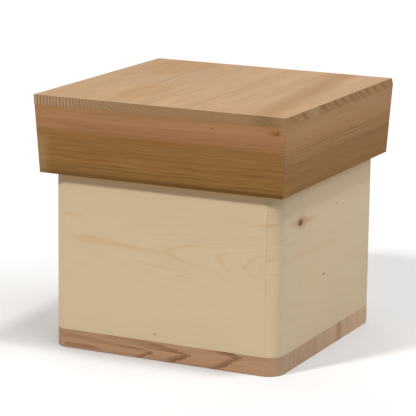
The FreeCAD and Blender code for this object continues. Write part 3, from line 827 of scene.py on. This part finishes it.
def paint_floor(graph, board, coat):
    """The cedar floor: dark zigzag arches on the long edge, and paler end grain with upright marks."""
    x, y, z = board.xyz.values()
    facing_x, facing_y, _ = graph.facing()
    face = facing_y.rise(*FLOOR_FACE)
    wobble = graph.streaks(x, z, length=16, width=3.2, seed=1, detail=3, roughness=0.6)
    jag = graph.streaks(x, z, length=5, width=1.3, seed=2, roughness=0.6)
    ragged = x + wobble * 12 + jag * 13
    depth = ZIGZAGS.strength + board.fibre(length=30, width=0.7) * 1.1
    for tip, level, up, down, thick in ZIGZAGS.arches:
        above = (z - level).most(0)
        front = ragged - tip + above * up - ((z - level) - above) * down
        gap = front / (above.rise(0, 1.2) * up + 1.6)
        tail = x.rise(*(tip + place for place in ZIGZAGS.tail))
        mark = gap.rise(0.9, -0.7) * gap.rise(thick * -1.3, thick * -0.2)
        coat.cover(mark * (tail * 0.55 + 0.45) * face * depth, ZIGZAGS.colour)
    coat.lay(FLOOR_CORNER, spot(x, z + wobble * 4, *FLOOR_CORNER.oval) * face)
    streaks = graph.streaks(x, z, length=60, width=1.6, seed=7, detail=3, roughness=0.6)
    coat.shade(1 + streaks * face * 0.35)
    coat.shade(1 - z.rise(*FLOOR_UPPER) * face * 0.06)
    coat.lay(FLOOR_SEAM, z.rise(*FLOOR_SEAM.z) * face)
    end = facing_x.size().rise(*FLOOR_END.face)
    coat.lay(FLOOR_END, end)
    coat.shade(1 + y.rise(*FLOOR_END.y) * end * 0.3)
    coat.shade(1 + graph.streaks(y, z, length=3.5, width=40, seed=3) * end * 0.4)
    blotch = graph.streaks(y, z, length=9, width=40, seed=3).rise(0.05, 0.3) * 0.35
    coat.cover(end * (y.near(*FLOOR_END.band) * 0.42 + blotch), FLOOR_END.dark)


# ---- a timber for each seen board

WALL = dict(
    light=PINE_LIGHT, dark=PINE_DARK, roughness=0.55, fibre_depth=0.035, patch_depth=0.04, end_shade=1,
    end_contrast=-0.3,
)
LID = dict(
    light=tone(137, 94, 52), dark=tone(100, 63, 31), ring_depth=0.35, roughness=0.6, fibre_depth=0.12,
    patch_depth=0.16, end_shade=0.84, end_contrast=0.8,
)
ROOF = dict(
    light=tone(159, 129, 96), dark=tone(117, 89, 62), ring_depth=0.16, roughness=0.52, fibre_depth=0.13,
    patch_depth=0.16, end_shade=0.92, end_contrast=4, gloss=0.2,
)
FLOOR = dict(
    light=tone(157, 121, 91), dark=tone(116, 80, 51), ring_depth=0.14, roughness=0.62, fibre_depth=0.14,
    patch_depth=0.2, end_shade=1.02, end_contrast=0.4,
)

SEEN_BOARDS = {
    "back_wall": (
        dict(grain="x", seed=1.3, heart=(-60, 121), ring=5.2, lean=(-0.06, -0.01), quiet=wall_quiet),
        dict(paint=paint_back_wall, ring_depth=0.06, **WALL),
    ),
    "right_wall": (
        dict(grain="y", seed=2.7, heart=(30, 92), ring=4.3, lean=(0.03, -0.044)),
        dict(paint=paint_right_wall, ring_depth=0.12, **WALL),
    ),
    "left_wall": (
        dict(grain="y", seed=4.1, heart=(-20, 135), ring=4, lean=(0.05, 0.03)),
        dict(ring_depth=0.3, **WALL),
    ),
    "entrance_wall": (
        dict(grain="x", seed=5.9, heart=(40, 88), ring=4.6, lean=(0.05, -0.03)),
        dict(ring_depth=0.3, **WALL),
    ),
    "lid_back_board": (
        dict(grain="x", seed=6.2, heart=(-20, 330), ring=2.6),
        dict(paint=paint_lid_back, **LID),
    ),
    "lid_right_board": (
        dict(grain="y", seed=7.4, heart=(20, 340), ring=2.8),
        dict(paint=paint_lid_right, **LID),
    ),
    "lid_front_board": (
        dict(grain="x", seed=8.8, heart=(60, 215), ring=3, lean=(0.12, 0.01)),
        dict(paint=paint_lid_far("x"), **LID),
    ),
    "lid_left_board": (
        dict(grain="y", seed=9.6, heart=(-60, 235), ring=2.7, lean=(-0.1, 0.02)),
        dict(paint=paint_lid_far("y"), **LID),
    ),
    "lid_top_board": (
        dict(grain="y", seed=11.1, wander=1.2, uneven=0.8, count=roof_years, quiet=roof_quiet),
        dict(paint=paint_roof, **ROOF),
    ),
    "floor_board": (
        dict(grain="x", seed=12.5, heart=(-60, 60), ring=3.4, lean=(0.05, 0.02)),
        dict(paint=paint_floor, **FLOOR),
    ),
}
node_materials = {node: timber(node, grain, **look) for node, (grain, look) in SEEN_BOARDS.items()}


# ---- shared materials for the inside pieces

SMALL_TIMBERS = {
    "frame_pine": dict(light=tone(206, 180, 140), dark=tone(180, 138, 90)),
    "beech": dict(light=tone(192, 152, 116), dark=tone(164, 118, 84)),
}
SMALL_TIMBER = dict(ring_depth=0.5, roughness=0.6, fibre_depth=0.1, patch_depth=0.12, end_shade=0.88)
FIRST_SEED = 20
SEED_STEP = 3.3
PLY_THICKNESS = 1.2
GLUE_LINE = tone(96, 66, 44)
FLOWER_SIZE = 5

slot_timbers = {}


def grain_of(node):
    """The letter of a piece's longest direction."""
    low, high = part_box(node)
    size = high - low
    return "xyz"[max(range(3), key=lambda number: size[number])]


def slot_timber(slot, node):
    """Shared timbers for the inside pieces, one for each slot and grain direction."""
    grain = grain_of(node)
    key = (slot, grain)
    if key not in slot_timbers:
        seed = FIRST_SEED + SEED_STEP * len(slot_timbers)
        heart = (-150 + seed * 9, 40 + seed * 13)
        board_facts = dict(grain=grain, seed=seed, heart=heart, ring=2.4, wander=1.5)
        slot_timbers[key] = timber(f"{slot}_{grain}", board_facts, **SMALL_TIMBERS[slot], **SMALL_TIMBER)
    return slot_timbers[key]


def plywood():
    """Birch plywood: pale rotary-cut faces with long wavy figure, and thin layers on every edge."""
    graph = Graph("birch_plywood")
    x, y, z = graph.position()
    up = graph.facing()[2].size().rise(0.6, 0.9)
    sway = graph.streaks(x, y, length=60, width=130, detail=3)
    figure = graph.noise(x / 17 + sway * 2.5, y / 160, 2)
    fibre = graph.streaks(x, y, length=0.8, width=34, seed=z, detail=3, roughness=0.6)
    face = graph.mix(figure.rise(-0.2, 0.25), tone(206, 180, 140), tone(190, 156, 112))
    face = graph.shade(face, 1 + fibre * 0.16)
    ply = (z / PLY_THICKNESS).part()
    layer = graph.mix(ply.rise(0.46, 0.54), tone(196, 166, 124), tone(150, 112, 74))
    layer = graph.mix((ply - 0.5).size().rise(0.44, 0.5), layer, GLUE_LINE)
    layer = graph.shade(layer, 1 + graph.noise(x / 1.2, y / 1.2, z / 0.5) * 0.3)
    colour = graph.mix(up, layer, face)
    return graph.surface(colour, roughness=0.58 + fibre * 0.1, height=fibre * 0.05 + ply * 0.04)


def wood_fibre():
    """Soft insulation board: tangled short brown fibres."""
    graph = Graph("wood_fibre")
    x, y, z = graph.position()
    long_way = graph.noise(x / 6, y / 0.7, z / 0.7, detail=3, roughness=0.7)
    short_way = graph.noise(x / 0.7 + 9, y / 6, z / 0.9, detail=3, roughness=0.7)
    clump = graph.noise(x / 14, y / 14, z / 10)
    tangle = long_way + short_way
    colour = graph.mix(tangle.rise(-0.4, 0.4), tone(128, 92, 56), tone(184, 148, 104))
    colour = graph.shade(colour, 1 + clump * 0.3)
    return graph.surface(colour, roughness=0.92, height=tangle * 0.7 + clump * 0.8)


def beeswax():
    """Pressed wax: warm yellow, with a pale bloom in patches."""
    graph = Graph("beeswax")
    x, y, z = graph.position()
    bloom = graph.noise(y / 26, z / 22, x / 9, detail=3)
    speck = graph.noise(y / 1.4, z / 1.4, x)
    colour = graph.mix(bloom.rise(-0.25, 0.3), tone(206, 152, 62), tone(222, 184, 104))
    colour = graph.shade(colour, 1 + speck * 0.14)
    return graph.surface(colour, roughness=0.42 + bloom * 0.2, height=speck * 0.02)


def steel(name, colour, roughness, scratch, spangle=0):
    """Sheet or turned metal with fine scratches, a little staining, and zinc flowers where asked."""
    graph = Graph(name)
    x, y, z = graph.position()
    line = graph.noise(x / 22, y / 4, z / 0.25, detail=3, roughness=0.6)
    cross = graph.noise(x / 0.3, y / 2, z / 14 + 4)
    stain = graph.noise(x / 12, y / 12, z / 12, detail=3)
    marks = line * 0.7 + cross * 0.3
    lightness = 1 + marks * scratch + stain * 0.18
    if spangle:
        cells = graph.node("ShaderNodeTexVoronoi")
        cells.inputs["Scale"].default_value = 1
        graph.feed(cells.inputs["Vector"], graph.join(*(place / FLOWER_SIZE for place in (x, y, z))))
        flower = graph.split(cells.outputs["Color"])[0]
        lightness = lightness + (flower - 0.5) * spangle
    rough = roughness + marks * 0.2 + stain * 0.1
    return graph.surface(graph.shade(colour, lightness), rough, height=marks * 0.02, metallic=1)


slot_materials = {
    "plywood": plywood(),
    "wood_fibre": wood_fibre(),
    "beeswax": beeswax(),
    "zinc_steel": steel("zinc_steel", tone(176, 178, 180), roughness=0.38, scratch=0.25, spangle=0.2),
    "disc_steel": steel("disc_steel", tone(186, 188, 190), roughness=0.3, scratch=0.3),
}

# ---- the CAD nodes

SHARP_EDGE = 30
EASED_CORNER = 42
MERGED = 0.00001
EASED = {"floor_board": 0.5, "lid_top_board": 0.35}
EASED.update({f"{side}_wall": 0.4 for side in ("back", "left", "right", "entrance")})
EASED.update({f"lid_{side}_board": 0.5 for side in ("back", "right", "front", "left")})


def make_smoother():
    """A node group that smooths faces and keeps edges sharper than SHARP_EDGE degrees crisp."""
    group = bpy.data.node_groups.new("Smooth curves", "GeometryNodeTree")
    group.interface.new_socket("Geometry", in_out="INPUT", socket_type="NodeSocketGeometry")
    group.interface.new_socket("Geometry", in_out="OUTPUT", socket_type="NodeSocketGeometry")
    start = group.nodes.new("NodeGroupInput")
    end = group.nodes.new("NodeGroupOutput")
    faces = group.nodes.new("GeometryNodeSetShadeSmooth")
    faces.domain = "FACE"
    edges = group.nodes.new("GeometryNodeSetShadeSmooth")
    edges.domain = "EDGE"
    edges.inputs["Shade Smooth"].default_value = False
    angle = group.nodes.new("GeometryNodeInputMeshEdgeAngle")
    sharp = group.nodes.new("FunctionNodeCompare")
    sharp.operation = "GREATER_THAN"
    sharp.inputs["B"].default_value = math.radians(SHARP_EDGE)
    for source, target in (
        (start.outputs["Geometry"], faces.inputs["Geometry"]),
        (faces.outputs["Geometry"], edges.inputs["Geometry"]),
        (angle.outputs["Unsigned Angle"], sharp.inputs["A"]),
        (sharp.outputs["Result"], edges.inputs["Selection"]),
        (edges.outputs["Geometry"], end.inputs["Geometry"]),
    ):
        group.links.new(source, target)
    return group


smoother = make_smoother()


def ease_edges(piece, width):
    """Smooths a piece's curved faces, and rounds its edges where a width is given."""
    weld = piece.modifiers.new("Weld", "WELD")
    weld.merge_threshold = MERGED
    piece.modifiers.new("Smooth curves", "NODES").node_group = smoother
    if width:
        bevel = piece.modifiers.new("Eased edges", "BEVEL")
        bevel.width = width * MM
        bevel.segments = 2
        bevel.limit_method = "ANGLE"
        bevel.angle_limit = math.radians(EASED_CORNER)
        bevel.harden_normals = True
        bevel.miter_outer = "MITER_ARC"


def dress(node, piece, slot):
    """Gives a CAD node its own material, or its slot's, and eases its edges."""
    material = node_materials.get(node) or slot_materials.get(slot) or slot_timber(slot, node)
    piece.data.materials.clear()
    piece.data.materials.append(material)
    ease_edges(piece, EASED.get(node))


for sub_part in frame["record"]["subparts"]:
    node = sub_part["node"]
    dress(node, frame["nodes"][node], sub_part["material_slot"])

# ---- wax foundation

CELL = 5.4 * MM
CELL_HOLLOW = 0.12  # wax left at a cell's bottom on each side, as a share of the sheet's thickness
FRAME_COUNT = 6
SAME_PLACE_DIGITS = 6
FLAT_AREA = 1e-10


def hexagon_field(width, height, cell):
    """Corner rings and centres of upright hexagons that cover a sheet, kept inside it."""
    radius = cell / math.sqrt(3)
    row_step = radius * 1.5
    rows = math.ceil(height / row_step) + 1
    columns = math.ceil(width / cell) + 1

    def inside(y, z):
        return (max(-width / 2, min(width / 2, y)), max(0, min(height, z)))

    for row in range(rows):
        for column in range(columns):
            y = -width / 2 + column * cell + (row % 2) * cell / 2
            z = row * row_step
            ring = [
                inside(y + radius * math.sin(math.radians(turn)), z + radius * math.cos(math.radians(turn)))
                for turn in range(0, 360, 60)
            ]
            yield inside(y, z), ring


def make_foundation_mesh(width, height, thickness):
    """A sheet of wax pressed with cell bottoms on both faces."""
    rim = thickness / 2
    hollow = thickness * CELL_HOLLOW
    places = {}
    depths = []
    triangles = []

    def vertex(point, depth):
        key = (round(point[0], SAME_PLACE_DIGITS), round(point[1], SAME_PLACE_DIGITS))
        if key not in places:
            places[key] = len(places)
            depths.append(depth)
        return places[key]

    for centre, ring in hexagon_field(width, height, CELL):
        corners = [vertex(point, rim) for point in ring]
        middle = vertex(centre, hollow)
        for first, second in zip(corners, corners[1:] + corners[:1]):
            if len({first, second, middle}) == 3:
                triangles.append((middle, first, second))
    points = list(places)

    def area(triangle):
        (ay, az), (by, bz), (cy, cz) = (points[index] for index in triangle)
        return (by - ay) * (cz - az) - (cy - ay) * (bz - az)

    triangles = [triangle for triangle in triangles if abs(area(triangle)) > FLAT_AREA]
    triangles = [triangle if area(triangle) > 0 else triangle[::-1] for triangle in triangles]
    count = len(points)
    vertices = [(depth, *point) for depth, point in zip(depths, points)]
    vertices += [(-depth, *point) for depth, point in zip(depths, points)]
    faces = triangles + [tuple(index + count for index in triangle[::-1]) for triangle in triangles]
    directed = {pair for triangle in triangles for pair in zip(triangle, triangle[1:] + triangle[:1])}
    for first, second in sorted(directed):
        if (second, first) not in directed:
            faces.append((second, first, first + count, second + count))
    mesh = bpy.data.meshes.new("wax_foundation")
    mesh.from_pydata(vertices, [], faces)
    mesh.materials.append(slot_materials["beeswax"])
    return mesh


def make_foundations():
    """The pressed wax sheet of every frame."""
    mesh = None
    for number in range(1, FRAME_COUNT + 1):
        node = f"frame_{number}_wax_sheet"
        low_corner, high_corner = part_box(node)
        if mesh is None:
            size = high_corner - low_corner
            mesh = make_foundation_mesh(size.y, size.z, size.x)
        sheet = bpy.data.objects.new(f"frame_{number}_pressed_wax", mesh)
        middle = (low_corner + high_corner) / 2
        sheet.location = (middle.x, middle.y, low_corner.z)
        bpy.context.scene.collection.objects.link(sheet)
        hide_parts(node)
        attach(sheet, f"frame_{number}")


make_foundations()

# ---- floor, light and camera
# Lengths here are in metres and angles in degrees. A sun's row holds what make_sun takes.

FLOOR_REACH = 60.0
FLOOR_GAP = 0.0002
SUNS = (
    ("key", (-0.53, -1.0, 0.9), 2.93, 8, (0.99, 1.0, 1.02)),
    ("overhead", (-0.05, 0.0, 1.0), 0.8, 30, (1.0, 1.0, 1.0)),
    ("high_right", (0.27, 0.0, 1.0), 1.6, 8, (1.0, 1.0, 1.0)),
    ("fill", (1.0, -0.1, 1.1), 2.25, 60, (0.98, 1.01, 1.09)),
    ("behind", (-0.8, 1.0, 0.6), 1.1, 50, (1.0, 1.0, 1.0)),
)
UNMIRRORED_SUN = "behind"
WORLD_GLOW = 0.04
CAMERA = Facts(
    place=(1.0270, -2.1611, 0.6756), yaw=25.663, pitch=12.559, roll=0.706, lens=190.77, sensor_width=36,
)


def make_floor():
    """A plain pale floor that reaches past every view."""
    corners = [(x * FLOOR_REACH, y * FLOOR_REACH, 0.0) for x, y in ((-1, -1), (1, -1), (1, 1), (-1, 1))]
    mesh = bpy.data.meshes.new("studio_floor")
    mesh.from_pydata(corners, [], [(0, 1, 2, 3)])
    floor = bpy.data.objects.new("studio_floor", mesh)
    floor.location.z = cad_low[2] - FLOOR_GAP
    bpy.context.scene.collection.objects.link(floor)
    graph = Graph("studio_floor")
    x, y, _ = graph.position()
    cloud = graph.streaks(x, y, length=900, width=900)
    colour = graph.shade(tone(190, 188, 185), 1 + cloud * 0.01)
    mesh.materials.append(graph.surface(colour, roughness=0.9))


def make_sun(name, toward, strength, angle, colour):
    """A far soft light; toward points from the object to the light."""
    lamp = bpy.data.lights.new(name, "SUN")
    lamp.energy = strength
    lamp.angle = math.radians(angle)
    lamp.color = colour
    sun = bpy.data.objects.new(name, lamp)
    sun.rotation_mode = "QUATERNION"
    sun.rotation_quaternion = Vector(toward).normalized().to_track_quat("Z", "Y")
    sun.visible_glossy = name != UNMIRRORED_SUN
    bpy.context.scene.collection.objects.link(sun)


def make_world(glow):
    """A white backdrop that the camera sees, and that lights the hive only as far as glow says."""
    world = bpy.data.worlds.new("studio")
    world.use_nodes = True
    background = world.node_tree.nodes["Background"]
    background.inputs["Color"].default_value = (1, 1, 1, 1)
    path = world.node_tree.nodes.new("ShaderNodeLightPath")
    strength = world.node_tree.nodes.new("ShaderNodeMath")
    strength.operation = "MAXIMUM"
    strength.inputs[1].default_value = glow
    world.node_tree.links.new(path.outputs["Is Camera Ray"], strength.inputs[0])
    world.node_tree.links.new(strength.outputs["Value"], background.inputs["Strength"])
    bpy.context.scene.world = world


def make_camera():
    """The camera looks down a little at the corner between the back and right walls."""
    yaw, pitch, roll = (math.radians(angle) for angle in (CAMERA.yaw, CAMERA.pitch, CAMERA.roll))
    level = Matrix.Rotation(yaw, 4, "Z") @ Matrix.Rotation(math.pi / 2 - pitch, 4, "X")
    lens = bpy.data.cameras.new("camera")
    lens.lens = CAMERA.lens
    lens.sensor_width = CAMERA.sensor_width
    camera = bpy.data.objects.new("camera", lens)
    camera.matrix_world = Matrix.Translation(CAMERA.place) @ level @ Matrix.Rotation(roll, 4, "Z")
    bpy.context.scene.collection.objects.link(camera)
    bpy.context.scene.camera = camera


make_floor()
for sun_facts in SUNS:
    make_sun(*sun_facts)
make_world(WORLD_GLOW)
make_camera()
bpy.context.scene.view_settings.view_transform = "Standard"
